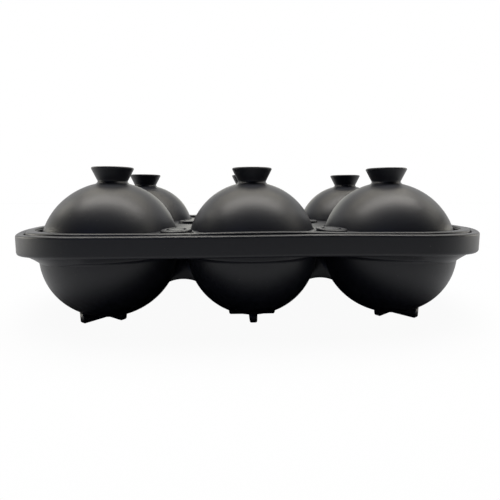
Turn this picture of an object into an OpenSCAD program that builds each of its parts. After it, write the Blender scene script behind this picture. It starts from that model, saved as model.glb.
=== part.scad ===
// Silicone ice ball mold: a base tray with two rows of three cups, and a lift-off lid
// whose domes close the balls and carry a flared filling spout each.
// Millimetres. The feet stand on z = 0, the long side runs along X and the front faces -Y.

/* [Ball] */
// Diameter of the finished ice ball
ball_d = 63.5; // [50:0.5:76]
// Straight belt between the two half balls
belt_h = 1.8; // [0.6:0.1:2]

/* [Cups] */
// Wall of a cup
cup_wall = 3.3; // [2.4:0.1:4.2]
// Wall of the collar round the seat of the lid's tongue
collar_wall = 2.1; // [1.4:0.1:4]
// Depth of the collar below the ball's centre
collar_drop = 1.45; // [0.5:0.05:3]
// Height of the tray's underside above the ball's centre
collar_rise = 1.7; // [1.4:0.1:4]
// Gap between neighbouring collars
collar_gap = 1.8; // [1:0.1:12]

/* [Feet] */
// Height of a cup's lowest point above the table
foot_stand = 1; // [0.5:0.1:6]
// Length of a middle foot's long bar, from front to rear
foot_len = 33; // [20:1:36]
// Length of the bar that crosses it
cross_len = 26; // [12:1:34]
// Length of a corner foot's long bar, towards the tray's corner
corner_foot_len = 32; // [20:1:34]
// Length of the bar that crosses it under a corner cup
corner_cross_len = 27; // [12:0.5:32]
// Angle of a corner foot's long bar from the tray's long side
corner_foot_turn = 52; // [35:1:60]
// How far a corner foot's crossing lies out from its cup's axis, along the tray
corner_foot_out = 3; // [0:0.1:4]
// Thickness of a foot's bars
foot_t = 4; // [3:0.1:6]
// Radius of a foot's long lower edges
foot_edge_r = 1; // [0.4:0.1:1.4]
// Radius of the lower corners at the bars' ends
foot_end_r = 1.2; // [0.6:0.1:2.4]
// How far a bar's ends lean in from its top down to the table
foot_draft = 0.6; // [0:0.1:1.5]

/* [Tray] */
// Thickness of the tray's deck
deck_t = 3.5; // [2:0.1:5]
// Height of the rim from the deck's underside
rim_h = 9.85; // [8:0.05:14]
// Thickness of the rim at its top
rim_wall = 3.7; // [2.4:0.1:6]
// How far the rim leans out from its foot to its top
rim_draft = 0.5; // [0:0.1:1]
// Radius of the rim's lower edge
rim_foot_r = 1.5; // [0.6:0.1:1.9]
// Radius of the rim's top edges
rim_edge_r = 0.4; // [0.3:0.1:1]
// Thickness of the webs between the cups
web_t = 3; // [2:0.1:5]
// Depth of the webs below the ball's centre, beside the cups
web_drop = 18.3; // [10:0.1:20]
// Rise of the arch in a web's lower edge
web_arch = 1.8; // [1:0.1:2.4]
// Flat part of a web's lower edge beside each cup
web_flat = 0.5; // [0.2:0.1:1.5]

/* [Lid] */
// Thickness of the lid's plate under the moats
plate_t = 2; // [1.4:0.1:4]
// Height of the lid's deck above the moat floor
lid_deck_h = 4; // [2:0.1:5]
// Height of the border band above the lid's deck
band_h = 1; // [0.4:0.1:2]
// Width of the border band past the moats
band_w = 4.7; // [3.6:0.1:9]
// Ledge of the lid's deck between the moats and the band
band_ledge = 0.7; // [0.3:0.1:1.5]
// Radius of the band's top edges
band_edge_r = 0.4; // [0.3:0.1:0.9]
// Gap between the lid's edge and the rim
lid_clear = 0.6; // [0.4:0.1:2]
// Reach of the moat past the dome's full radius
moat_reach = 1.4; // [1.1:0.1:1.7]
// Reach of the deck between the domes, past the lines through the cups, up to the moats' ends
land_reach = 22; // [16:0.5:24]

/* [Domes] */
// Wall of a dome
dome_wall = 2.75; // [2.4:0.05:3.4]
// Wall of the tongue that enters a cup's seat
tongue_wall = 2.45; // [1.6:0.05:2.9]
// Gap between the tongue and its seat, at the side
seat_clear = 0.3; // [0.2:0.05:0.8]
// Gap under the tongue
seal_gap = 0.2; // [0.1:0.05:0.5]

/* [Spouts] */
// Height of a spout above its dome's crown
spout_h = 7.65; // [5:0.05:14]
// Outer radius of a spout's lip
spout_r = 10.6; // [9:0.1:14]
// Outer radius of a spout's neck
neck_r = 7.55; // [6.8:0.05:9]
// Width of the chamfer where the neck meets the dome
neck_chamfer = 0.9; // [0.4:0.1:1.5]
// Radius of the filling hole
fill_r = 5; // [3:0.1:5.5]
// Wall of the funnel at the lip
lip_wall = 1.8; // [1.4:0.1:3]
// Radius of the lip's edge
lip_edge_r = 0.6; // [0.2:0.1:0.7]

/* [Lock buttons] */
// Radius of a button
button_r = 7.4; // [6.6:0.1:7.8]
// Width of the gap round a button
button_gap = 0.8; // [0.4:0.1:1]
// Height of a button above the border band
button_rise = 0.5; // [0:0.1:2]
// Radius of a button's top edge
button_edge_r = 0.7; // [0.2:0.1:1]
// Radius of the ring groove in a button's top
groove_r = 4.3; // [3.6:0.1:5.6]
// Width of the ring groove
groove_w = 0.7; // [0.4:0.1:1.2]
// Depth of the ring groove
groove_d = 0.8; // [0.3:0.1:1.5]
// Distance of the outer buttons from the line through their row of cups
button_out = 25; // [24:0.5:26]
// Radius of the plug under a button
plug_r = 5; // [3.5:0.1:5.4]
// Gap between a plug and its socket
plug_clear = 0.3; // [0.2:0.05:0.8]
// Chamfer at a plug's end
plug_chamfer = 0.8; // [0.3:0.1:1.2]

/* [Hidden] */
$fn = 96;

charcoal = "#2b2a29";
cut = 1;          // overrun of a cut past the face it opens
arc_steps = 6;

// Radii about a cup's axis
ball_r = ball_d / 2;
cup_r = ball_r + cup_wall;
tongue_r = ball_r + tongue_wall;
seat_r = tongue_r + seat_clear;
collar_r = seat_r + collar_wall;
dome_r = ball_r + dome_wall;
moat_r = dome_r + moat_reach;
band_in_r = moat_r + band_ledge;
lid_r = moat_r + band_w;
rim_in_r = lid_r + lid_clear;
rim_r = rim_in_r + rim_wall;

// Places of the cups in plan
pitch = 2 * collar_r + collar_gap;
half_x = pitch;
half_y = pitch / 2;
left = -pitch;
middle = 0;
right = pitch;
front = -half_y;
rear = half_y;

// Heights
cup_z = foot_stand + cup_r;
ledge_z = cup_z + belt_h / 2;
dome_z = cup_z + belt_h;
deck_low_z = cup_z + collar_rise;
deck_z = deck_low_z + deck_t;
rim_top_z = deck_low_z + rim_h;
moat_z = deck_z + plate_t;
lid_deck_z = moat_z + lid_deck_h;
band_z = lid_deck_z + band_h;
button_z = band_z + button_rise;
crown_z = dome_z + dome_r;
spout_z = crown_z + spout_h;

// Six lock buttons: one in each space between neighbouring cups, along the front, centre and rear
button_places = [
    for (x = [-pitch / 2, pitch / 2])
        for (y = [front - button_out, 0, rear + button_out]) [x, y]
];

// Points of an arc from angle a to angle b
function arc(centre, r, a, b) = [
    for (i = [0 : arc_steps])
        let (t = a + (b - a) * i / arc_steps) centre + r * [cos(t), sin(t)]
];

module at_cups() {
    for (x = [left, middle, right])
        for (y = [front, rear])
            translate([x, y, 0])
                children();
}

module at_buttons() {
    for (p = button_places)
        translate([p.x, p.y, 0])
            children();
}

// A cylinder between two heights
module post(r, low, high) {
    translate([0, 0, low])
        cylinder(r = r, h = high - low);
}

// A slab between two heights, its corners round about the corner cups
module slab(r, low, high) {
    translate([-half_x - r, -half_y, low])
        cube([2 * (half_x + r), 2 * half_y, high - low]);
    translate([-half_x, -half_y - r, low])
        cube([2 * half_x, 2 * (half_y + r), high - low]);
    for (x = [-half_x, half_x])
        for (y = [-half_y, half_y])
            translate([x, y, 0])
                post(r, low, high);
}

// Sweeps a profile round the outline: x is the distance out from the corner cups' axes, y the height
module round_outline() {
    for (q = [0 : 3])
        rotate(90 * q)
            translate(q % 2 == 0 ? [half_x, half_y, 0] : [half_y, half_x, 0]) {
                rotate_extrude(angle = 90)
                    children();
                rotate([90, 0, 0])
                    linear_extrude(q % 2 == 0 ? 2 * half_y : 2 * half_x)
                        children();
            }
}

// The rim's wall and its root in the deck
module rim_profile() {
    lean = atan(rim_draft / rim_h);
    root_r = rim_in_r - deck_t;
    function wall_x(z) = rim_r - rim_draft * (rim_top_z - z) / rim_h;
    function outer(z, r) = [wall_x(z) - r / cos(lean), z];
    polygon(concat(
        [[root_r, deck_z], [root_r, deck_low_z]],
        arc(outer(deck_low_z + rim_foot_r, rim_foot_r), rim_foot_r, -90, -lean),
        arc(outer(rim_top_z - rim_edge_r, rim_edge_r), rim_edge_r, -lean, 90),
        arc([rim_in_r + rim_edge_r, rim_top_z - rim_edge_r], rim_edge_r, 90, 180),
        [[rim_in_r, deck_z]]
    ));
}

// The lid's edge and its raised border band
module band_profile() {
    top = band_z - band_edge_r;
    polygon(concat(
        [[band_in_r, deck_z], [lid_r, deck_z]],
        arc([lid_r - band_edge_r, top], band_edge_r, 0, 90),
        arc([band_in_r + band_edge_r, top], band_edge_r, 90, 180)
    ));
}

// Deck and rim of the base, with a seat hole over each cup and a socket under each button
module base_tray() {
    color(charcoal)
        difference() {
            union() {
                slab(rim_in_r - deck_t / 2, deck_low_z, deck_z);
                round_outline()
                    rim_profile();
            }
            at_cups()
                post(seat_r, deck_low_z - cut, deck_z + cut);
            at_buttons()
                post(plug_r + plug_clear, deck_low_z - cut, deck_z + cut);
        }
}

// A web between two cups that are a pitch apart along X, with an arched lower edge
module web() {
    end_z = cup_z - web_drop;
    half_gap = pitch / 2 - sqrt(cup_r * cup_r - web_drop * web_drop);
    arch_half = half_gap - web_flat;
    arch_r = (arch_half * arch_half + web_arch * web_arch) / (2 * web_arch);
    difference() {
        translate([-pitch / 2, -web_t / 2, end_z])
            cube([pitch, web_t, deck_low_z - end_z]);
        translate([0, 0, end_z + web_arch - arch_r])
            rotate([90, 0, 0])
                cylinder(r = arch_r, h = web_t + 2 * cut, center = true);
        for (x = [-pitch / 2, pitch / 2])
            translate([x, 0, 0]) {
                translate([0, 0, cup_z])
                    sphere(r = cup_r);
                post(collar_r, cup_z - collar_drop, deck_low_z + cut);
            }
    }
}

module cup_webs() {
    color(charcoal) {
        for (x = [-pitch / 2, pitch / 2])
            for (y = [front, rear])
                translate([x, y, 0])
                    web();
        for (x = [left, middle, right])
            translate([x, 0, 0])
                rotate(90)
                    web();
    }
}

// One bar of a foot along X, its lower edges and end corners rounded and its ends leaning in;
// out is how far the foot lies from the cup's axis
module foot_bar(length, out) {
    reach = length / 2;
    low_reach = reach - foot_draft;
    far = reach + out;
    bar_top = cup_z - sqrt(cup_r * cup_r - far * far - foot_t * foot_t / 4) + cup_wall / 4;
    half_t = foot_t / 2;
    intersection() {
        rotate([90, 0, 90])
            linear_extrude(length, center = true)
                polygon(concat(
                    [[half_t, bar_top], [-half_t, bar_top]],
                    arc([-half_t + foot_edge_r, foot_edge_r], foot_edge_r, 180, 270),
                    arc([half_t - foot_edge_r, foot_edge_r], foot_edge_r, 270, 360)
                ));
        rotate([90, 0, 0])
            linear_extrude(foot_t + 2 * cut, center = true)
                polygon(concat(
                    [[reach, bar_top + cut], [-reach, bar_top + cut]],
                    arc([-low_reach + foot_end_r, foot_end_r], foot_end_r, 180, 270),
                    arc([low_reach - foot_end_r, foot_end_r], foot_end_r, 270, 360)
                ));
    }
}

// A cup with its collar, its seat for the lid's tongue and its crossed foot, whose long bar runs
// front to rear under a middle cup and towards the tray's corner under the others
module cup(x, y) {
    corner = x != middle;
    turn = corner ? corner_foot_turn * sign(x * y) : 90;
    along = corner ? corner_foot_len : foot_len;
    across = corner ? corner_cross_len : cross_len;
    out = corner ? corner_foot_out : 0;
    color(charcoal)
        translate([x, y, 0])
            difference() {
                union() {
                    difference() {
                        translate([0, 0, cup_z])
                            sphere(r = cup_r);
                        post(cup_r + cut, cup_z, cup_z + cup_r + cut);
                    }
                    post(collar_r, cup_z - collar_drop, deck_low_z);
                    translate([out * sign(x), 0, 0]) {
                        rotate(turn)
                            foot_bar(along, out);
                        rotate(turn + 90)
                            foot_bar(across, out);
                    }
                }
                translate([0, 0, cup_z])
                    sphere(r = ball_r);
                post(ball_r, cup_z, deck_low_z + cut);
                post(seat_r, ledge_z, deck_low_z + cut);
            }
}

// A button with its ring groove, and the plug that enters the tray's socket
module lock_button() {
    groove_in = groove_r - groove_w / 2;
    groove_out = groove_r + groove_w / 2;
    groove_z = button_z - groove_d;
    rotate_extrude()
        polygon(concat(
            [[0, deck_low_z], [plug_r - plug_chamfer, deck_low_z], [plug_r, deck_low_z + plug_chamfer]],
            [[plug_r, deck_z + plate_t / 2], [button_r, deck_z + plate_t / 2]],
            arc([button_r - button_edge_r, button_z - button_edge_r], button_edge_r, 0, 90),
            [[groove_out, button_z], [groove_out, groove_z]],
            [[groove_in, groove_z], [groove_in, button_z], [0, button_z]]
        ));
}

// Moats along the outer sides of the domes, between the lid's deck and its border band
module moats() {
    difference() {
        at_cups()
            post(moat_r, moat_z, band_z + cut);
        translate([-half_x - land_reach, -half_y - land_reach, moat_z - cut])
            cube([2 * (half_x + land_reach), 2 * (half_y + land_reach), band_z - moat_z + 3 * cut]);
    }
}

// The lid's plate: raised deck and border band, moats, a hole for each dome and the lock buttons
module lid_plate() {
    color(charcoal)
        union() {
            difference() {
                union() {
                    slab((band_in_r + lid_r) / 2, deck_z, lid_deck_z);
                    round_outline()
                        band_profile();
                }
                moats();
                at_cups()
                    post(tongue_r, deck_z - cut, band_z + cut);
                at_buttons()
                    post(button_r + button_gap, moat_z, band_z + cut);
            }
            at_buttons()
                lock_button();
        }
}

// A dome with its tongue, its flared spout and the filling hole
module dome(x, y) {
    root_z = dome_z + sqrt(dome_r * dome_r - neck_r * neck_r);
    chamfer_r = neck_r + neck_chamfer;
    chamfer_z = dome_z + sqrt(dome_r * dome_r - chamfer_r * chamfer_r);
    lean = atan((spout_r - neck_r) / (spout_z - root_z - neck_chamfer));
    lip = [spout_r - lip_edge_r, spout_z - lip_edge_r];
    color(charcoal)
        translate([x, y, 0])
            difference() {
                union() {
                    difference() {
                        translate([0, 0, dome_z])
                            sphere(r = dome_r);
                        post(dome_r + cut, dome_z - dome_r - cut, moat_z);
                    }
                    post(tongue_r, ledge_z + seal_gap, moat_z);
                    rotate_extrude()
                        polygon(concat(
                            [[0, chamfer_z - cut], [chamfer_r, chamfer_z - cut], [chamfer_r, chamfer_z]],
                            [[neck_r, root_z + neck_chamfer]],
                            arc(lip, lip_edge_r, -lean, 90),
                            [[0, spout_z]]
                        ));
                }
                translate([0, 0, dome_z])
                    sphere(r = ball_r);
                post(ball_r, ledge_z - cut, dome_z);
                post(fill_r, dome_z, crown_z + cut);
                translate([0, 0, crown_z])
                    cylinder(r1 = fill_r, r2 = spout_r - lip_wall, h = spout_h);
                post(spout_r - lip_wall, spout_z, spout_z + cut);
            }
}

base_tray();
cup_webs();
cup(left, front);  // cup_front_left
cup(middle, front);  // cup_front_middle
cup(right, front);  // cup_front_right
cup(left, rear);  // cup_rear_left
cup(middle, rear);  // cup_rear_middle
cup(right, rear);  // cup_rear_right
lid_plate();
dome(left, front);  // dome_front_left
dome(middle, front);  // dome_front_middle
dome(right, front);  // dome_front_right
dome(left, rear);  // dome_rear_left
dome(middle, rear);  // dome_rear_middle
dome(right, rear);  // dome_rear_right
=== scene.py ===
import math

import bmesh
import bpy
from mathutils import Matrix, Vector


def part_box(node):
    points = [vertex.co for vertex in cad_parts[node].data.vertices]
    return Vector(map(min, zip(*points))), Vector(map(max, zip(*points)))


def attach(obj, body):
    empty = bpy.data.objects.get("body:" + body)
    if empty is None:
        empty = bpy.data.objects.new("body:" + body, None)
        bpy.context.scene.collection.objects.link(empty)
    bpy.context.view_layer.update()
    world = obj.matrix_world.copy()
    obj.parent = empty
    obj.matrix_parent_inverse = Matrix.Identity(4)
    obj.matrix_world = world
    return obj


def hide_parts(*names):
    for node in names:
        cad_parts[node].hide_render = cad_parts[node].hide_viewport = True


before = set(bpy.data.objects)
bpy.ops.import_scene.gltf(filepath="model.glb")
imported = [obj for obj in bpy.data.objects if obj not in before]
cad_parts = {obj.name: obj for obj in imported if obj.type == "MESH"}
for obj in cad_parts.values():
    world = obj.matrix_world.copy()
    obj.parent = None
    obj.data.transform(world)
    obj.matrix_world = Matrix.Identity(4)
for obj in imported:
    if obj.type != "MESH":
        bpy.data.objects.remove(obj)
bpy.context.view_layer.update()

mm = 0.001
tiny = 0.0005  # merge distance, in millimetres


# places and heights that the solids already settle, in millimetres
def nodeBox(node):
    low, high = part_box(node)
    return low / mm, high / mm


def cellCentre(cell):
    low, high = nodeBox("dome_" + cell)
    return (low.x + high.x) / 2, (low.y + high.y) / 2


cells = [node[len("dome_"):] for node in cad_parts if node.startswith("dome_")]
centres = {cell: cellCentre(cell) for cell in cells}
halfX = max(x for x, y in centres.values())
halfY = max(y for x, y in centres.values())
pitch = 2 * halfY

trayLow, trayHigh = nodeBox("base_tray")
lidHigh = nodeBox("lid_plate")[1]
cupLow, cupHigh = nodeBox("cup_front_middle")
domeLow, domeHigh = nodeBox("dome_front_middle")

ballRadius = 31.75
deckThickness = 3.5
moatFloor = 2.0    # what is left of the lid under the moats beside the domes
buttonOut = 25.0   # outer buttons, from the line through their row of cups
hold = 0.3         # an extra point this far from a round keeps the flat beside it flat

deckLowZ = trayLow.z
deckZ = deckLowZ + deckThickness    # the lid rests here
moatZ = deckZ + moatFloor
rimTopZ = trayHigh.z
buttonTopZ = lidHigh.z
spoutTopZ = domeHigh.z
buttonPlaces = [(x, y) for x in (-pitch / 2, pitch / 2) for y in (-halfY - buttonOut, 0, halfY + buttonOut)]
print("frame read:", len(cells), "cells, pitch", round(pitch, 2), "mm")


# shape helpers, all in millimetres until finishPiece scales them
def arc(cx, cz, radius, start, end, steps=6):
    angles = [math.radians(start + (end - start) * i / steps) for i in range(steps + 1)]
    return [(cx + radius * math.cos(a), cz + radius * math.sin(a)) for a in angles]


def line(start, end, steps):
    return [(start[0] + (end[0] - start[0]) * i / steps, start[1] + (end[1] - start[1]) * i / steps)
            for i in range(steps + 1)]


def ease(share):
    share = min(max(share, 0), 1)
    return share * share * (3 - 2 * share)


def vertsOf(geom):
    return [item for item in geom if isinstance(item, bmesh.types.BMVert)]


def drawProfile(bm, points, centre=(0, 0), closed=False):
    verts = [bm.verts.new((centre[0] + x, centre[1], z)) for x, z in points]
    pairs = list(zip(verts, verts[1:]))
    if closed:
        pairs.append((verts[-1], verts[0]))
    return verts + [bm.edges.new(pair) for pair in pairs]


def turned(points, steps=96, closed=False):
    bm = bmesh.new()
    bmesh.ops.spin(bm, geom=drawProfile(bm, points, closed=closed), cent=(0, 0, 0), axis=(0, 0, 1),
                   dvec=(0, 0, 0), angle=2 * math.pi, steps=steps, use_merge=True)
    shape = bpy.data.meshes.new("turned")
    bm.to_mesh(shape)
    bm.free()
    return shape


# sets a turned shape down at each place
def stamp(bm, shape, places):
    for x, y in places:
        shape.transform(Matrix.Translation((x, y, 0)))
        bm.from_mesh(shape)
        shape.transform(Matrix.Translation((-x, -y, 0)))
    bpy.data.meshes.remove(shape)


# carries a profile round the rounded outline: four quarter turns and four straights
def sweepOutline(bm, points, cornerSteps=24, stepLength=3.0):
    geom = drawProfile(bm, points, (halfX, halfY))
    corners = [(halfX, halfY), (-halfX, halfY), (-halfX, -halfY), (halfX, -halfY)]
    runs = [(-2 * halfX, 0), (0, -2 * halfY), (2 * halfX, 0), (0, 2 * halfY)]
    for corner, run in zip(corners, runs):
        quarter = bmesh.ops.spin(bm, geom=geom, cent=(*corner, 0), axis=(0, 0, 1),
                                 dvec=(0, 0, 0), angle=math.pi / 2, steps=cornerSteps)
        steps = round(max(abs(run[0]), abs(run[1])) / stepLength)
        straight = bmesh.ops.spin(bm, geom=quarter["geom_last"], cent=(0, 0, 0), axis=(0, 0, 1),
                                  dvec=(run[0] / steps, run[1] / steps, 0), angle=0, steps=steps)
        geom = straight["geom_last"]
    bmesh.ops.remove_doubles(bm, verts=bm.verts, dist=tiny)


# closes a flat level between its open loops, holes and all
def fillLevel(bm, z, up):
    loops = [e for e in bm.edges if e.is_boundary and all(abs(v.co.z - z) < tiny for v in e.verts)]
    bmesh.ops.triangle_fill(bm, use_beauty=True, edges=loops, normal=(0, 0, up))


# soft walls never lie quite straight: the front edge bows up and its two corners sag
sags = [
    {"place": (-114, -57), "spread": 19, "drop": 1.25},
    {"place": (110, -65), "spread": 16, "drop": 0.65},
]
sagInner, sagOuter = 36.0, 43.0  # a sag starts and is full this far out from a cup's axis


def settle(bm, bow, fixedZ=None):
    for v in bm.verts:
        share = ease((-halfY - v.co.y) / bow["depth"])
        if fixedZ is not None:
            share *= ease((v.co.z - fixedZ) / (deckLowZ - fixedZ))
        humps = [height * math.exp(-((v.co.x - centre) / width) ** 2)
                 for centre, width, height in bow["humps"]]
        lift = share * (bow["lift"] + sum(humps))
        out = min(math.hypot(v.co.x - x, v.co.y - y) for x, y in centres.values())
        for sag in sags:
            away = math.hypot(v.co.x - sag["place"][0], v.co.y - sag["place"][1]) / sag["spread"]
            lift -= sag["drop"] * math.exp(-away ** 2) * ease((out - sagInner) / (sagOuter - sagInner))
        v.co.z += lift


def roundEdges(bm, edges, radius, segments):
    return bmesh.ops.bevel(bm, geom=edges, offset=radius, affect="EDGES", segments=segments,
                           profile=0.5, material=-1)


def finishPiece(bm, name, node, body, material):
    bmesh.ops.remove_doubles(bm, verts=bm.verts, dist=tiny)
    bmesh.ops.dissolve_degenerate(bm, edges=bm.edges, dist=tiny)
    bmesh.ops.recalc_face_normals(bm, faces=bm.faces)
    bmesh.ops.scale(bm, vec=(mm, mm, mm), verts=bm.verts)
    for face in bm.faces:
        face.smooth = True
    mesh = bpy.data.meshes.new(name)
    bm.to_mesh(mesh)
    bm.free()
    piece = bpy.data.objects.new(name, mesh)
    bpy.context.scene.collection.objects.link(piece)
    piece.data.materials.append(material)
    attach(piece, body)
    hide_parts(node)
    return piece


def pieceName(kind, cell):
    return kind + "".join(word.capitalize() for word in cell.split("_"))


# matte silicone: charcoal with a grey bloom, fine moulded grain and a trace of dust
silicone = {
    "deep": (0.0045, 0.0055, 0.0095, 1),
    "bloom": (0.0085, 0.0095, 0.0140, 1),
    "dust": (0.035, 0.033, 0.031, 1),
    "bloomNoise": (22, 5, 0.6),     # scale, detail and roughness
    "dustNoise": (900, 2, 0.5),
    "dustRange": (0.70, 0.78),      # dust starts and is full where its noise passes these
    "grainNoise": (1900, 3, 0.6),
    "grainHeight": 0.00006,
    "grainStrength": 0.35,
    "roughness": (0.37, 0.43),
    "ior": 1.42,
    "gloss": 0.44,
    "sheen": 0.008,
    "sheenRoughness": 0.45,
    "sheenTint": (1.0, 0.96, 0.92, 1),
}


def siliconeMaterial(name, look):
    material = bpy.data.materials.new(name)
    material.use_nodes = True
    tree = material.node_tree
    nodes, links = tree.nodes, tree.links
    skin = nodes["Principled BSDF"]
    skin.inputs["IOR"].default_value = look["ior"]
    skin.inputs["Specular IOR Level"].default_value = look["gloss"]
    skin.inputs["Sheen Weight"].default_value = look["sheen"]
    skin.inputs["Sheen Roughness"].default_value = look["sheenRoughness"]
    skin.inputs["Sheen Tint"].default_value = look["sheenTint"]
    place = nodes.new("ShaderNodeTexCoord")

    def noise(scale, detail, roughness):
        node = nodes.new("ShaderNodeTexNoise")
        node.inputs["Scale"].default_value = scale
        node.inputs["Detail"].default_value = detail
        node.inputs["Roughness"].default_value = roughness
        links.new(place.outputs["Object"], node.inputs["Vector"])
        return node

    cloud = noise(*look["bloomNoise"])
    charcoal = nodes.new("ShaderNodeMix")
    charcoal.data_type = "RGBA"
    charcoal.inputs["A"].default_value = look["deep"]
    charcoal.inputs["B"].default_value = look["bloom"]
    links.new(cloud.outputs["Fac"], charcoal.inputs["Factor"])

    fleck = noise(*look["dustNoise"])
    ramp = nodes.new("ShaderNodeValToRGB")
    for stop, position in zip(ramp.color_ramp.elements, look["dustRange"]):
        stop.position = position
    links.new(fleck.outputs["Fac"], ramp.inputs["Fac"])
    dusty = nodes.new("ShaderNodeMix")
    dusty.data_type = "RGBA"
    dusty.inputs["B"].default_value = look["dust"]
    links.new(charcoal.outputs["Result"], dusty.inputs["A"])
    links.new(ramp.outputs["Color"], dusty.inputs["Factor"])
    links.new(dusty.outputs["Result"], skin.inputs["Base Color"])

    rough = nodes.new("ShaderNodeMapRange")
    rough.inputs["To Min"].default_value = look["roughness"][0]
    rough.inputs["To Max"].default_value = look["roughness"][1]
    links.new(cloud.outputs["Fac"], rough.inputs["Value"])
    links.new(rough.outputs["Result"], skin.inputs["Roughness"])

    grain = noise(*look["grainNoise"])
    bump = nodes.new("ShaderNodeBump")
    bump.inputs["Strength"].default_value = look["grainStrength"]
    bump.inputs["Distance"].default_value = look["grainHeight"]
    links.new(grain.outputs["Fac"], bump.inputs["Height"])
    links.new(bump.outputs["Normal"], skin.inputs["Normal"])
    return material


baseSkin = siliconeMaterial("baseSilicone", silicone)
lidSkin = siliconeMaterial("lidSilicone", silicone)
print("silicone ready")


# base tray: deck, leaning rim, a seat hole over each cup and a socket under each button
tray = {
    "rimWall": 3.7,
    "rimLean": 0.5,
    "rimFootRound": 1.5,
    "rimEdgeRound": 1.0,
    "innerCorner": 0.8,
    "deckEdge": 38.0,      # where the swept edge hands over to the flat deck
    "seatRadius": 34.5,
    "socketRadius": 5.3,
    "holeRound": 0.5,
    "bow": {"depth": 40, "lift": 0.02, "humps": [(30, 38, 0.48)]},
}
rimReach = trayHigh.x - halfX


def rimProfile():
    height = rimTopZ - deckLowZ
    lean = math.degrees(math.atan(tray["rimLean"] / height))

    def outer(z, inset=0):
        return rimReach - tray["rimLean"] * (rimTopZ - z) / height - inset / math.cos(math.radians(lean))

    soft, edge, corner = tray["rimFootRound"], tray["rimEdgeRound"], tray["innerCorner"]
    inner = rimReach - tray["rimWall"]
    points = [(tray["deckEdge"], deckZ), (inner - corner - 2 * hold, deckZ)]
    points += arc(inner - corner, deckZ + corner, corner, -90, 0)
    points += [(inner, deckZ + corner + hold), (inner, rimTopZ - edge - hold)]
    points += arc(inner + edge, rimTopZ - edge, edge, 180, 90)
    points += [(inner + edge + hold, rimTopZ), (outer(rimTopZ, edge) - hold, rimTopZ)]
    points += arc(outer(rimTopZ - edge, edge), rimTopZ - edge, edge, 90, -lean)
    wallTop, wallFoot = rimTopZ - edge - hold, deckLowZ + soft + hold
    points += line((outer(wallTop), wallTop), (outer(wallFoot), wallFoot), 4)
    points += arc(outer(deckLowZ + soft, soft), deckLowZ + soft, soft, -lean, -90, 8)
    points += [(tray["deckEdge"] + hold, deckLowZ), (tray["deckEdge"], deckLowZ)]
    return points


def makeTray():
    bm = bmesh.new()
    sweepOutline(bm, rimProfile())
    soft = tray["holeRound"]
    for radius, places in ((tray["seatRadius"], centres.values()), (tray["socketRadius"], buttonPlaces)):
        hole = [(radius + soft + hold, deckZ)] + arc(radius + soft, deckZ - soft, soft, 90, 180)
        hole += [(radius, deckZ - soft - hold), (radius, deckLowZ + hold), (radius, deckLowZ)]
        stamp(bm, turned(hole), places)
    fillLevel(bm, deckZ, 1)
    fillLevel(bm, deckLowZ, -1)
    settle(bm, tray["bow"])
    return finishPiece(bm, "baseTray", "base_tray", "base", baseSkin)


makeTray()
print("base tray made")


# cups: bowl, collar, seat ledge and crossed foot
cup = {
    "wall": 3.3,
    "centreBelowDeck": 1.7,   # from the ball's centre up to the tray's underside
    "collarDrop": 1.45,
    "collarRound": 0.5,
    "collarEase": 0.4,        # degrees over which the bowl turns into the collar's underside
    "flareDrop": 2.1,         # on a corner cup's outer side the collar sags and flares out under the rim
    "flareFoot": 35.25,
    "flareHead": 41.5,
    "flareWay": (0.87, 0.5),  # the flare's middle, seen from the cup's axis
    "flareTurn": (0.5, 0.92),  # cosines of the turn from there at which it starts and is full
    "ledgeRise": 0.9,
    "ledgeRound": 0.3,
    "steadyDrop": 10,         # below this, under the ball's centre, nothing bows
    "steps": 128,
}
foot = {
    "length": 33.0,           # a middle foot's long bar, front to rear
    "crossLength": 26.0,
    "cornerLength": 32.0,     # a corner foot's long bar, towards the tray's corner
    "cornerCross": 27.0,
    "cornerTurn": 52.0,
    "cornerOut": 2.4,         # a corner foot's crossing lies this far out from the cup's axis
    "thickness": 4.0,
    "draft": 0.6,
    "bury": 0.8,              # how far a bar's top runs into the cup's wall
    "edgeRound": 1.0,
    "endRound": 0.7,
    "steep": 0.5,             # a face whose normal rises less than this is a side
}
cupRadius = ballRadius + cup["wall"]
collarRadius = (cupHigh.x - cupLow.x) / 2
cupZ = deckLowZ - cup["centreBelowDeck"]


def cupProfile():
    drop, soft, edge, seat = cup["collarDrop"], cup["collarRound"], cup["ledgeRound"], tray["seatRadius"]
    lowZ, ledgeZ = cupZ - drop, cupZ + cup["ledgeRise"]
    join = math.degrees(math.asin(-drop / cupRadius))
    points = arc(0, cupZ, cupRadius, -90, join - cup["collarEase"], 40)
    points += arc(collarRadius - soft, lowZ + soft, soft, -90, 0, 4)
    points += line((collarRadius, lowZ + soft + hold), (collarRadius, deckLowZ), 4) + [(seat, deckLowZ)]
    points += [(seat, ledgeZ + hold), (seat, ledgeZ), (seat - hold, ledgeZ)]
    points += arc(ballRadius + edge, ledgeZ - edge, edge, 90, 180, 4)
    points += arc(0, cupZ, ballRadius, 0, -90, 40)
    return points


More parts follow.
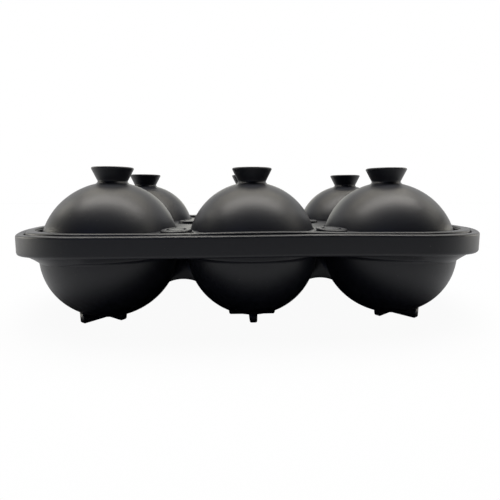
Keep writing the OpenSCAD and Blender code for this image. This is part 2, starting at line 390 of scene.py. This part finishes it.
# two crossed bars, their ends leaning in and their lower edges rounded
def makeFoot(along, across, out):
    half = foot["thickness"] / 2

    def reachOf(v):
        return max(abs(v.co.x), abs(v.co.y))

    def isEnd(v):
        return reachOf(v) > half + tiny

    bm = bmesh.new()
    bmesh.ops.create_grid(bm, x_segments=1, y_segments=1, size=half)
    for side in list(bm.edges):
        way = (side.verts[0].co + side.verts[1].co).normalized()
        reach = (along if abs(way.x) > abs(way.y) else across) / 2
        arm = bmesh.ops.extrude_edge_only(bm, edges=[side])
        bmesh.ops.translate(bm, vec=way * (reach - half), verts=vertsOf(arm["geom"]))
    raised = vertsOf(bmesh.ops.extrude_face_region(bm, geom=bm.faces[:])["geom"])
    for v in raised:
        far = v.co.xy.length + (out if isEnd(v) else 0)
        v.co.z = cupZ - math.sqrt(cupRadius ** 2 - far ** 2) + foot["bury"]
    for v in bm.verts:
        if v.co.z < tiny and isEnd(v):
            v.co *= 1 - foot["draft"] / reachOf(v)
    bmesh.ops.recalc_face_normals(bm, faces=bm.faces)
    upright = [e for e in bm.edges if all(isEnd(v) for v in e.verts)
               and abs(e.verts[0].co.z - e.verts[1].co.z) > tiny]
    roundEdges(bm, upright, foot["endRound"], 3)
    bm.normal_update()
    lower = [e for e in bm.edges if all(v.co.z < tiny for v in e.verts)
             and any(abs(f.normal.z) < foot["steep"] for f in e.link_faces)]
    roundEdges(bm, lower, foot["edgeRound"], 4)
    return bm


def flareCollar(bm, way):
    lowZ = cupZ - cup["collarDrop"]
    start, full = cup["flareTurn"]
    for v in bm.verts:
        if v.co.xy.length < tray["seatRadius"] + tiny or v.co.z < lowZ - tiny:
            continue
        share = ease((v.co.xy.normalized().dot(way) - start) / (full - start))
        rise = (v.co.z - lowZ) / (deckLowZ - lowZ)
        reach = cup["flareFoot"] + (cup["flareHead"] - cup["flareFoot"]) * rise
        target = Vector((*(v.co.xy.normalized() * reach), v.co.z - cup["flareDrop"] * (1 - rise)))
        v.co = v.co.lerp(target, share)


def makeCup(cell):
    x, y = centres[cell]
    isCorner = abs(x) > pitch / 2
    if isCorner:
        bm = makeFoot(foot["cornerLength"], foot["cornerCross"], foot["cornerOut"])
        angle = math.copysign(math.radians(foot["cornerTurn"]), x * y)
        shift = math.copysign(foot["cornerOut"], x)
    else:
        bm = makeFoot(foot["length"], foot["crossLength"], 0)
        angle, shift = math.pi / 2, 0
    bmesh.ops.rotate(bm, cent=(0, 0, 0), matrix=Matrix.Rotation(angle, 3, "Z"), verts=bm.verts)
    bmesh.ops.translate(bm, vec=(shift, 0, 0), verts=bm.verts)
    stamp(bm, turned(cupProfile(), cup["steps"]), [(0, 0)])
    if isCorner:
        along, across = cup["flareWay"]
        flareCollar(bm, Vector((math.copysign(along, x), math.copysign(across, y))))
    bmesh.ops.translate(bm, vec=(x, y, 0), verts=bm.verts)
    settle(bm, tray["bow"], cupZ - cup["steadyDrop"])
    return finishPiece(bm, pieceName("cup", cell), "cup_" + cell, "base", baseSkin)


for cell in cells:
    makeCup(cell)
print("cups made")


# webs that tie neighbouring cups, arched below
web = {
    "thickness": 3.0,
    "drop": 18.3,
    "archRise": 1.8,
    "bury": 0.6,           # how far a web's ends run into the cups
    "collarStep": 0.05,    # it narrows this far over the collar's underside
    "edgeRound": 0.6,
}


def addWeb(bm, centre, isTurned):
    endZ, bury = cupZ - web["drop"], web["bury"]

    def halfGap(z):
        return pitch / 2 - math.sqrt(cupRadius ** 2 - (z - cupZ) ** 2) + bury

    span = halfGap(endZ)
    archRadius = (span ** 2 + web["archRise"] ** 2) / (2 * web["archRise"])
    sweep = math.degrees(math.asin(span / archRadius))
    lower = arc(0, endZ + web["archRise"] - archRadius, archRadius, 90 + sweep, 90 - sweep, 16)
    lowZ = cupZ - cup["collarDrop"]
    right = [(halfGap(z), z) for _, z in line((0, endZ), (0, lowZ), 16)[1:]]
    neck = pitch / 2 - collarRadius + bury
    right += [(neck, lowZ + web["collarStep"]), (neck, deckLowZ)]
    outline = lower + right + [(-x, z) for x, z in reversed(right)]
    verts = [bm.verts.new((x, -web["thickness"] / 2, z)) for x, z in outline]
    face = bm.faces.new(verts)
    backVerts = vertsOf(bmesh.ops.extrude_face_region(bm, geom=[face])["geom"])
    bmesh.ops.translate(bm, vec=(0, web["thickness"], 0), verts=backVerts)
    made = verts + backVerts
    arch = {v for v in made if v.co.z < endZ + web["archRise"] + tiny and abs(v.co.x) < span + tiny}

    def isLengthwise(edge):
        start, end = [v.co for v in edge.verts]
        return abs(start.y - end.y) < tiny and abs(start.x - end.x) > tiny

    edges = [e for e in bm.edges if arch.issuperset(e.verts) and isLengthwise(e)]
    rounded = roundEdges(bm, edges, web["edgeRound"], 3)
    made = [v for v in set(made) | set(rounded["verts"]) if v.is_valid]
    if isTurned:
        bmesh.ops.rotate(bm, cent=(0, 0, 0), matrix=Matrix.Rotation(math.pi / 2, 3, "Z"), verts=made)
    bmesh.ops.translate(bm, vec=(*centre, 0), verts=made)


def makeWebs():
    bm = bmesh.new()
    for x in (-pitch / 2, pitch / 2):
        for y in (-halfY, halfY):
            addWeb(bm, (x, y), False)
    for x in (-pitch, 0, pitch):
        addWeb(bm, (x, 0), True)
    return finishPiece(bm, "cupWebs", "cup_webs", "base", baseSkin)


makeWebs()
print("webs made")


# lid plate: border band, raised deck, moats along the outer sides, and the lock buttons with their plugs
plate = {
    "bandRise": 1.0,
    "bandInset": 4.0,      # width of the band
    "bandRound": 0.75,
    "innerCorner": 0.15,
    "bandBrim": 0.05,      # width of the deck that belongs to the swept edge
    "footRound": 0.5,
    "underEdge": 38.0,     # where the swept edge hands over to the flat underside
    "moatReach": 35.9,
    "moatRound": 0.2,
    "moatBrim": 0.1,
    "moatCorner": 0.5,
    "moatSteps": 128,
    "holeRadius": 34.2,
    "landReach": 22.0,     # the deck between the domes runs this far past the lines through the cups
    "landLean": 0.45,      # and its edge leans in over the domes' roots
    "bow": {"depth": 40, "lift": 0.16, "humps": [(11, 33, 0.66), (-37.5, 14, -0.22), (37.5, 14, -0.2)]},
}
lockButton = {
    "rise": 0.5,
    "radius": 7.4,
    "gap": 0.8,
    "edgeRound": 0.7,
    "grooveRadius": 4.3,
    "grooveWidth": 1.0,
    "grooveDepth": 0.8,
    "grooveRound": 0.15,
    "plugRadius": 5.0,
    "plugRound": 0.3,
    "plugChamfer": 0.8,
    "plugSteps": 48,
    "pocketRound": 0.3,
    "pocketBrim": 0.2,
    "steps": 64,
    "lean": 0.25,          # the front caps stand proud towards the middle
    "tip": 0.7,            # and towards the rear
    "restLean": 0.2,       # the others hardly lean
}
lidReach = lidHigh.x - halfX
bandZ = buttonTopZ - lockButton["rise"]
lidDeckZ = bandZ - plate["bandRise"]


def bandProfile():
    edge, corner, soft = plate["bandRound"], plate["innerCorner"], plate["footRound"]
    inner = lidReach - plate["bandInset"]
    points = [(inner - corner - plate["bandBrim"], lidDeckZ)]
    points += arc(inner - corner, lidDeckZ + corner, corner, -90, 0, 3)
    points += arc(inner + edge, bandZ - edge, edge, 180, 90, 4)
    points += [(inner + edge + hold, bandZ), (lidReach - edge - hold, bandZ)]
    points += arc(lidReach - edge, bandZ - edge, edge, 90, 0, 4)
    points += line((lidReach, bandZ - edge - hold), (lidReach, deckZ + soft + hold), 3)
    points += arc(lidReach - soft, deckZ + soft, soft, 0, -90, 4)
    points += [(plate["underEdge"] + hold, deckZ), (plate["underEdge"], deckZ)]
    return points


def moatProfile():
    reach, hole = plate["moatReach"], plate["holeRadius"]
    soft, corner = plate["moatRound"], plate["moatCorner"]
    points = [(reach + soft + plate["moatBrim"], lidDeckZ)]
    points += arc(reach + soft, lidDeckZ - soft, soft, 90, 180, 3)
    points += [(reach, lidDeckZ - soft - hold), (reach, moatZ + corner + hold)]
    points += arc(reach - corner, moatZ + corner, corner, 0, -90, 4)
    points += [(hole, moatZ), (hole, deckZ + hold), (hole, deckZ)]
    return points


# between the domes the deck runs right up to them, so the moats close there
def closeMoats(bm):
    shift = plate["moatReach"] - plate["holeRadius"]
    edge = plate["moatReach"] + plate["moatRound"] + plate["moatBrim"]
    for v in bm.verts:
        inLand = abs(v.co.x) < halfX + plate["landReach"] and abs(v.co.y) < halfY + plate["landReach"]
        if not inLand or v.co.z < moatZ - tiny:
            continue
        for x, y in centres.values():
            out = Vector((v.co.x - x, v.co.y - y))
            if plate["holeRadius"] - tiny < out.length < edge + tiny:
                rise = (v.co.z - moatZ) / (lidDeckZ - moatZ)
                radius = max(plate["holeRadius"], out.length - shift) - plate["landLean"] * rise
                v.co.xy = Vector((x, y)) + out.normalized() * radius


def buttonProfile():
    radius, edge, soft = lockButton["radius"], lockButton["edgeRound"], lockButton["pocketRound"]
    pocket = radius + lockButton["gap"]
    grooveIn = lockButton["grooveRadius"] - lockButton["grooveWidth"] / 2
    grooveOut = lockButton["grooveRadius"] + lockButton["grooveWidth"] / 2
    grooveZ, turn = buttonTopZ - lockButton["grooveDepth"], lockButton["grooveRound"]
    points = [(pocket + soft + lockButton["pocketBrim"], lidDeckZ)]
    points += arc(pocket + soft, lidDeckZ - soft, soft, 90, 180, 3)
    points += [(pocket, moatZ + hold), (pocket, moatZ), (radius, moatZ), (radius, moatZ + hold)]
    points += [(radius, buttonTopZ - edge - hold)] + arc(radius - edge, buttonTopZ - edge, edge, 0, 90, 5)
    points += [(grooveOut + turn + hold, buttonTopZ)]
    points += arc(grooveOut + turn, buttonTopZ - turn, turn, 90, 180, 2)
    points += [(grooveOut, grooveZ), (grooveIn, grooveZ)]
    points += arc(grooveIn - turn, buttonTopZ - turn, turn, 0, 90, 2)
    points += [(grooveIn - turn - hold, buttonTopZ), (0, buttonTopZ)]
    return points


def plugProfile():
    radius, soft, chamfer = lockButton["plugRadius"], lockButton["plugRound"], lockButton["plugChamfer"]
    points = arc(radius + soft, deckZ - soft, soft, 90, 180, 3)
    points += [(radius, deckLowZ + chamfer), (radius - chamfer, deckLowZ), (0, deckLowZ)]
    return points


def leanButtons(bm):
    radius = lockButton["radius"]
    for x, y in buttonPlaces:
        isFront = y < -halfY
        lean = lockButton["lean"] if isFront else lockButton["restLean"]
        tip = lockButton["tip"] if isFront else 0
        for v in bm.verts:
            out = Vector((v.co.x - x, v.co.y - y)) / radius
            if out.length < 1 + tiny and v.co.z > moatZ + hold + tiny:
                v.co.z += lean * (1 - math.copysign(1, x) * out.x) / 2 + tip * out.y / 2


def makeLidPlate():
    bm = bmesh.new()
    sweepOutline(bm, bandProfile())
    stamp(bm, turned(moatProfile(), plate["moatSteps"]), centres.values())
    closeMoats(bm)
    stamp(bm, turned(buttonProfile(), lockButton["steps"]), buttonPlaces)
    stamp(bm, turned(plugProfile(), lockButton["plugSteps"]), buttonPlaces)
    bmesh.ops.remove_doubles(bm, verts=bm.verts, dist=tiny)
    fillLevel(bm, lidDeckZ, 1)
    fillLevel(bm, deckZ, -1)
    leanButtons(bm)
    settle(bm, plate["bow"])
    return finishPiece(bm, "lidPlate", "lid_plate", "lid", lidSkin)


makeLidPlate()
print("lid plate made")


# domes: tongue, half ball, flared spout and filling hole
dome = {
    "wall": 2.75,
    "belt": 1.8,
    "tongueRadius": 34.15,
    "tongueRound": 0.3,
    "rootReach": 34.7,
    "rootRound": 0.6,
    "rootTurn": 82,          # degrees of that round
    "rootLap": 0.02,         # the root lies this far over the moat's floor
    "spoutHeight": 7.65,
    "spoutRadius": 10.85,
    "neckRadius": 7.55,
    "neckRound": 1.0,
    "neckCurve": [(0.1, 0.2), (0.12, -0.25), (0.4, -0.65)],  # out and up from where the neck is narrowest
    "fillRadius": 5.0,
    "fillRound": 0.5,
    "lipWall": 1.8,
    "lipRound": 0.6,
    "lipTurn": 110,          # degrees of that round
    "lipInnerRound": 0.4,
    "flareTop": (0.15, 0.5),   # the spout's outside starts this far in and down from the lip's round
    "funnelTop": (0.2, 0.5),   # and its inside ends this far in and down from the lip
    "steps": 128,
}
domeRadius = ballRadius + dome["wall"]
domeZ = cupZ + dome["belt"]


def domeProfile():
    # inside: the half ball, the filling hole and the funnel
    fill, soft = dome["fillRadius"], dome["fillRound"]
    top = math.degrees(math.acos((fill + soft) / ballRadius))
    topZ = domeZ + ballRadius * math.sin(math.radians(top))
    crownZ = spoutTopZ - dome["spoutHeight"]
    throat = dome["spoutRadius"] - dome["lipWall"]
    funnelIn, funnelDown = dome["funnelTop"]
    points = [(ballRadius, domeZ - hold)]
    points += arc(0, domeZ, ballRadius, 0, top, 40)
    points += arc(fill + soft, topZ + soft, soft, 270, 180, 4)
    points += line((fill, crownZ), (throat - funnelIn, spoutTopZ - funnelDown), 8)

    # the spout's lip, outside and neck
    inner, lip = dome["lipInnerRound"], dome["lipRound"]
    neck = dome["neckRadius"]
    neckZ = domeZ + math.sqrt(domeRadius ** 2 - neck ** 2) + dome["neckRound"]
    neckPoints = [(neck + out, neckZ + up) for out, up in dome["neckCurve"]]
    flareIn, flareDown = dome["flareTop"]
    flareTop = (dome["spoutRadius"] - flareIn, spoutTopZ - lip - flareDown)
    points += arc(throat + inner, spoutTopZ - inner, inner, 150, 90, 3)
    points += arc(dome["spoutRadius"] - lip, spoutTopZ - lip, lip, 90, 90 - dome["lipTurn"], 6)
    points += line(flareTop, neckPoints[0], 8) + neckPoints[1:]

    # outside: the dome, its root on the moat's floor and the tongue below
    root, lap = dome["rootRound"], dome["rootLap"]
    tongue, turn = dome["tongueRadius"], dome["tongueRound"]
    shoulder = math.degrees(math.acos((neck + dome["neckRound"]) / domeRadius))
    low = math.degrees(math.asin((moatZ + root - domeZ) / domeRadius))
    edge = domeRadius * math.cos(math.radians(low))
    points += arc(0, domeZ, domeRadius, shoulder, low, 48)
    points += arc(edge + root, moatZ + root + lap, root, 180, 180 + dome["rootTurn"], 4)
    points += [(dome["rootReach"], moatZ + lap), (tongue, moatZ + lap / 2), (tongue, moatZ - hold)]
    points += arc(tongue - turn, domeLow.z + turn, turn, 0, -90, 3)
    points += arc(ballRadius + turn, domeLow.z + turn, turn, -90, -180, 3)
    return points


def makeDome(cell):
    bm = bmesh.new()
    stamp(bm, turned(domeProfile(), dome["steps"], closed=True), [centres[cell]])
    return finishPiece(bm, pieceName("dome", cell), "dome_" + cell, "lid", lidSkin)


for cell in cells:
    makeDome(cell)
print("domes made")


# stage: floor and backdrop that read as white; the floor's white carries a painted shadow of the object
# close round it and a painted falloff in front of it
stage = {
    "reach": 6.0,
    "backdrop": 2.6,
    "white": (1, 1, 1, 1),
    "paint": (0.3, 0.3, 0.3, 1),
    "shadowReach": 0.3,
    "shadowRange": (0.40, 0.86),   # shares of open sky over the floor: full painted shadow below, none above
    "shadowSeen": 0.05,            # how much of the painted shadow the lens sees
    "nearFade": (-0.42, -0.09),    # in front of the object a painted falloff dims the floor's white
    "nearWhite": 0.3,              # to this
}


def stageMaterial(name, paintsShadow):
    material = bpy.data.materials.new(name)
    material.use_nodes = True
    nodes, links = material.node_tree.nodes, material.node_tree.links
    nodes.remove(nodes["Principled BSDF"])
    paint = nodes.new("ShaderNodeBsdfDiffuse")
    paint.inputs["Color"].default_value = stage["paint"]
    rays = nodes.new("ShaderNodeLightPath")
    lensRay = rays.outputs["Is Camera Ray"]

    def mathNode(operation, first, second):
        node = nodes.new("ShaderNodeMath")
        node.operation = operation
        for socket, value in zip(node.inputs, (first, second)):
            if isinstance(value, (int, float)):
                socket.default_value = value
            else:
                links.new(value, socket)
        return node.outputs[0]

    def smoothRange(ends, value):
        node = nodes.new("ShaderNodeMapRange")
        node.interpolation_type = "SMOOTHSTEP"
        node.inputs["From Min"].default_value, node.inputs["From Max"].default_value = ends
        links.new(value, node.inputs["Value"])
        return node

    shine = nodes.new("ShaderNodeEmission")
    shine.inputs["Color"].default_value = stage["white"]
    if paintsShadow:
        # painted shadow: ambient occlusion dims the floor's white glow near the object
        near = nodes.new("ShaderNodeAmbientOcclusion")
        near.inputs["Distance"].default_value = stage["shadowReach"]
        sky = smoothRange(stage["shadowRange"], near.outputs["AO"])
        place = nodes.new("ShaderNodeTexCoord")
        axes = nodes.new("ShaderNodeSeparateXYZ")
        links.new(place.outputs["Object"], axes.inputs["Vector"])
        # painted falloff: the floor's white dims in front of the object by its place alone
        fade = smoothRange(stage["nearFade"], axes.outputs["Y"])
        fade.inputs["To Min"].default_value = stage["nearWhite"]
        paintedLight = mathNode("MULTIPLY", sky.outputs["Result"], fade.outputs["Result"])
        shadow = mathNode("SUBTRACT", 1, paintedLight)
        weight = mathNode("SUBTRACT", 1, mathNode("MULTIPLY", lensRay, 1 - stage["shadowSeen"]))
        white = mathNode("SUBTRACT", 1, mathNode("MULTIPLY", shadow, weight))
        links.new(white, shine.inputs["Strength"])
    seen = mathNode("MAXIMUM", lensRay, rays.outputs["Is Glossy Ray"])
    seen = mathNode("MAXIMUM", seen, rays.outputs["Is Transmission Ray"])
    swap = nodes.new("ShaderNodeMixShader")
    links.new(seen, swap.inputs["Fac"])
    links.new(paint.outputs["BSDF"], swap.inputs[1])
    links.new(shine.outputs["Emission"], swap.inputs[2])
    links.new(swap.outputs["Shader"], nodes["Material Output"].inputs["Surface"])
    return material


def stageSheet(name, matrix, material):
    bm = bmesh.new()
    bmesh.ops.create_grid(bm, x_segments=1, y_segments=1, size=stage["reach"], matrix=matrix)
    mesh = bpy.data.meshes.new(name)
    bm.to_mesh(mesh)
    bm.free()
    sheet = bpy.data.objects.new(name, mesh)
    bpy.context.scene.collection.objects.link(sheet)
    sheet.data.materials.append(material)
    return sheet


upright = Matrix.Translation((0, stage["backdrop"], 0)) @ Matrix.Rotation(math.pi / 2, 4, "X")
stageSheet("floor", Matrix.Identity(4), stageMaterial("floorWhite", True))
stageSheet("backdrop", upright, stageMaterial("backdropWhite", False))


# studio light: a long panel overhead, a weaker one behind it, a high and a low one on each side,
# a faint one at the rear and a cool one in front
lamps = {
    "overhead": {"place": (0, -0.035, 1.2), "size": (2, 0.34), "watts": 30, "colour": (1, 0.965, 0.91)},
    "overheadRear": {"place": (0, 0.55, 1.2), "size": (2, 0.26), "watts": 7, "colour": (1, 0.92, 0.72)},
    "leftHigh": {"place": (-1.2, 0.35, 0.8), "size": (0.5, 0.5), "watts": 2.65, "colour": (1, 0.965, 0.85)},
    "leftLow": {"place": (-1.2, 0.15, 0.12), "size": (0.5, 0.22), "watts": 2.95, "colour": (1, 0.965, 0.85)},
    "rightHigh": {"place": (1.2, 0.12, 0.8), "size": (0.9, 0.5), "watts": 3.2, "colour": (1, 0.96, 0.85)},
    "rightLow": {"place": (1.2, 0.15, 0.12), "size": (0.5, 0.22), "watts": 1.9, "colour": (1, 0.96, 0.85)},
    "rear": {"place": (0, 1.3, 0.4), "size": (0.8, 0.5), "watts": 0.9, "colour": (1, 0.99, 0.78)},
    "coolFill": {"place": (-0.6, -1.3, 0.4), "size": (0.5, 0.5), "watts": 0.6, "colour": (0.2, 0.35, 1)},
}
lampAim = Vector((0, 0, 0.04))  # the middle of the object


def softbox(name, lamp):
    light = bpy.data.lights.new(name, "AREA")
    light.shape = "RECTANGLE"
    light.size, light.size_y = lamp["size"]
    light.energy = lamp["watts"]
    light.color = lamp["colour"]
    box = bpy.data.objects.new(name, light)
    box.location = lamp["place"]
    box.rotation_euler = (lampAim - box.location).to_track_quat("-Z", "Y").to_euler()
    bpy.context.scene.collection.objects.link(box)
    return box


for name, lamp in lamps.items():
    softbox(name, lamp)

# a dim room that the silicone mirrors, and white past the floor's edge for the lens
air = {"colour": (0.8, 0.9, 1.0, 1), "strength": 0.01}


def studioAir():
    world = bpy.data.worlds.new("studioAir")
    world.use_nodes = True
    nodes, links = world.node_tree.nodes, world.node_tree.links
    room = nodes["Background"]
    room.inputs["Color"].default_value = air["colour"]
    room.inputs["Strength"].default_value = air["strength"]
    white = nodes.new("ShaderNodeBackground")
    white.inputs["Color"].default_value = stage["white"]
    rays = nodes.new("ShaderNodeLightPath")
    seen = nodes.new("ShaderNodeMath")
    seen.operation = "MAXIMUM"
    links.new(rays.outputs["Is Camera Ray"], seen.inputs[0])
    links.new(rays.outputs["Is Transmission Ray"], seen.inputs[1])
    swap = nodes.new("ShaderNodeMixShader")
    links.new(seen.outputs[0], swap.inputs["Fac"])
    links.new(room.outputs["Background"], swap.inputs[1])
    links.new(white.outputs["Background"], swap.inputs[2])
    links.new(swap.outputs["Shader"], nodes["World Output"].inputs["Surface"])
    return world


bpy.context.scene.world = studioAir()
print("stage and lights set")


# camera, fitted to the photograph's outlines
lens = {
    "place": (-0.01102, -0.23956, 0.06544),
    "turn": 2.825,     # degrees to the right of straight ahead
    "nod": -1.029,     # and up
    "focal": 26.527,
    "sensor": 36,
    "shiftY": -0.0975,
    "nearest": 0.01,
}
turn, nod = math.radians(lens["turn"]), math.radians(lens["nod"])
forward = Vector((math.sin(turn) * math.cos(nod), math.cos(turn) * math.cos(nod), math.sin(nod)))
cameraData = bpy.data.cameras.new("camera")
cameraData.sensor_width = lens["sensor"]
cameraData.lens = lens["focal"]
cameraData.shift_y = lens["shiftY"]
cameraData.clip_start = lens["nearest"]
camera = bpy.data.objects.new("camera", cameraData)
camera.location = lens["place"]
camera.rotation_euler = forward.to_track_quat("-Z", "Y").to_euler()
bpy.context.scene.collection.objects.link(camera)
bpy.context.scene.camera = camera
bpy.context.scene.view_settings.view_transform = "Standard"
print("camera set")
